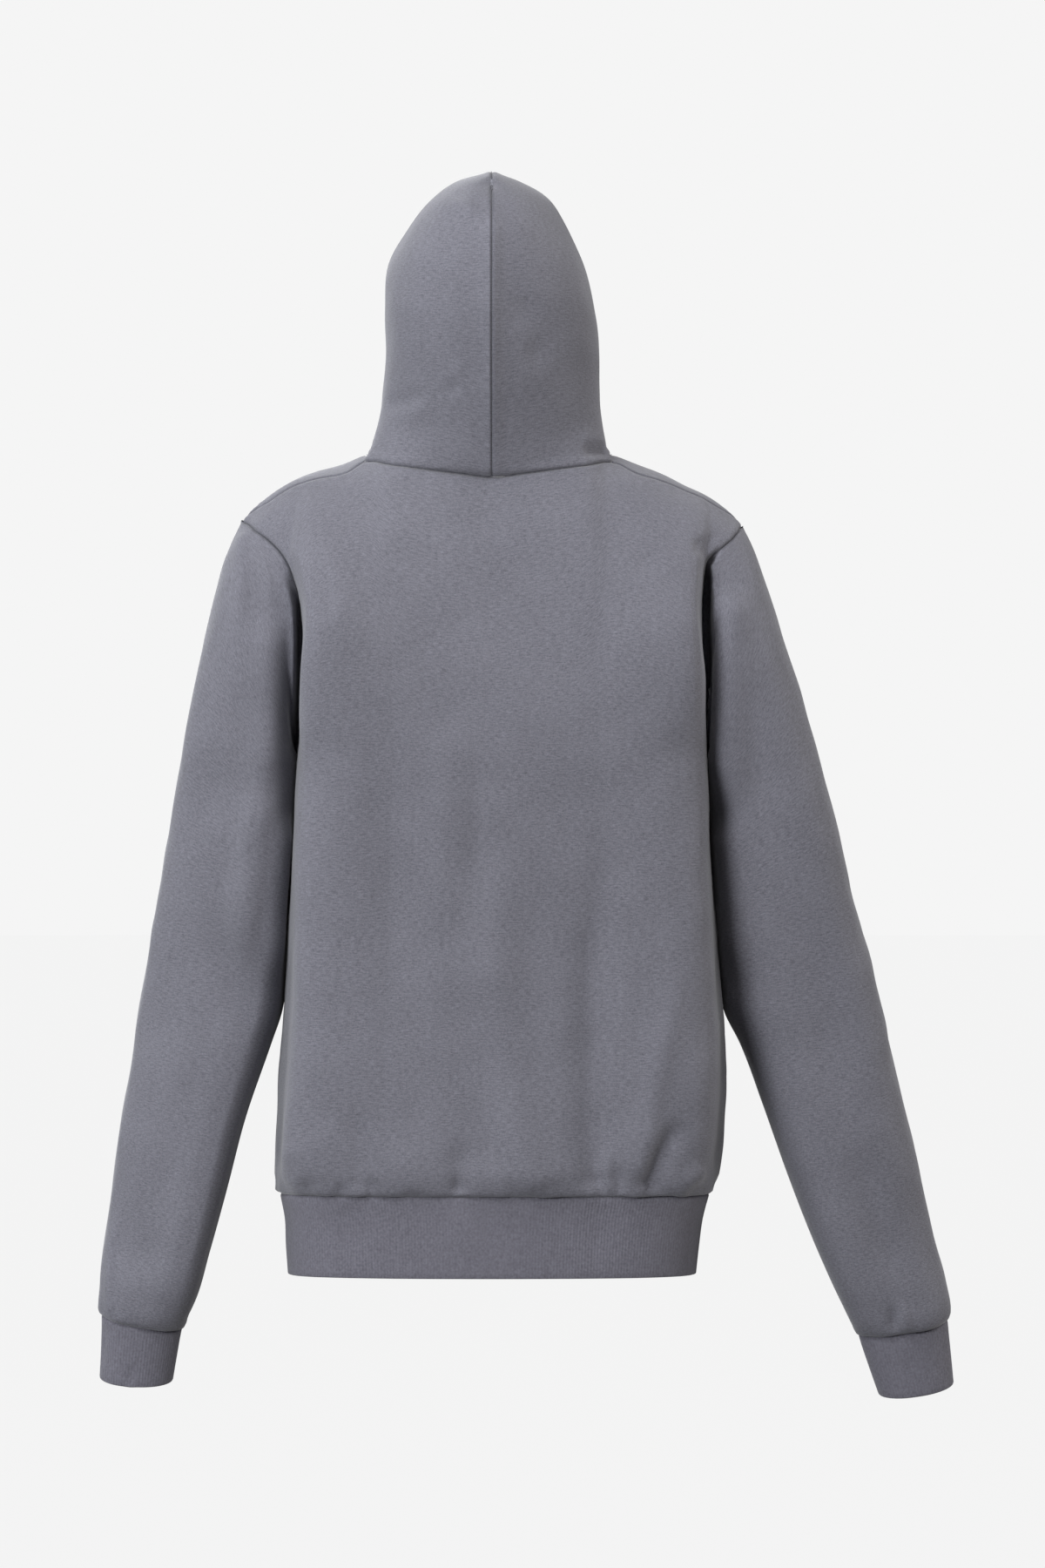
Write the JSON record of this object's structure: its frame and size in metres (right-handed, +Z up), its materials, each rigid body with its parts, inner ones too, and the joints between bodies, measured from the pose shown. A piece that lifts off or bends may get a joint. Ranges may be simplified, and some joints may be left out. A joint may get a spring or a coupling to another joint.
{
  "type": "zip-up hoodie",
  "caption": "Plain zip-up hooded sweatshirt in worn, hollow form with the hood up, ribbed waistband and cuffs, and a front zip whose pull tab swings.",
  "frame": {"origin": "middle of the neck opening, where the wearer's neck and shoulders hold the garment up", "axes": "+Z up towards the hood's crown, -Y out of the zipped front, +Y out of the back, +X towards the wearer's left sleeve"},
  "size_m": [0.7093, 0.2395, 1.0137],
  "materials": {
    "fleece_jersey": "matte grey melange knit with a fine vertical fleck",
    "rib_knit": "matte grey one by one rib knit",
    "zip_tape": "matte dark grey woven tape",
    "zip_metal": "satin nickel"
  },
  "bodies": {
    "garment": {"back": "fleece_jersey", "front_left": "fleece_jersey", "front_right": "fleece_jersey", "sleeve_left": "fleece_jersey", "sleeve_right": "fleece_jersey", "hood_left": "fleece_jersey", "hood_right": "fleece_jersey", "waistband": "rib_knit", "cuff_left": "rib_knit", "cuff_right": "rib_knit", "zip_tape_left": "zip_tape", "zip_tape_right": "zip_tape", "zip_chain": "zip_metal", "zip_slider": "zip_metal", "zip_stop_left": "zip_metal", "zip_stop_right": "zip_metal", "zip_box": "zip_metal"},
    "pull": {"zip_pull": "zip_metal"}
  },
  "joints": [
    {"name": "pull_swing", "type": "hinge", "parent": "garment", "child": "pull", "pos_m": [0, -0.09826, -0.08816], "axis": [-1, 0, 0], "range_deg": [0, 150]}
  ]
}
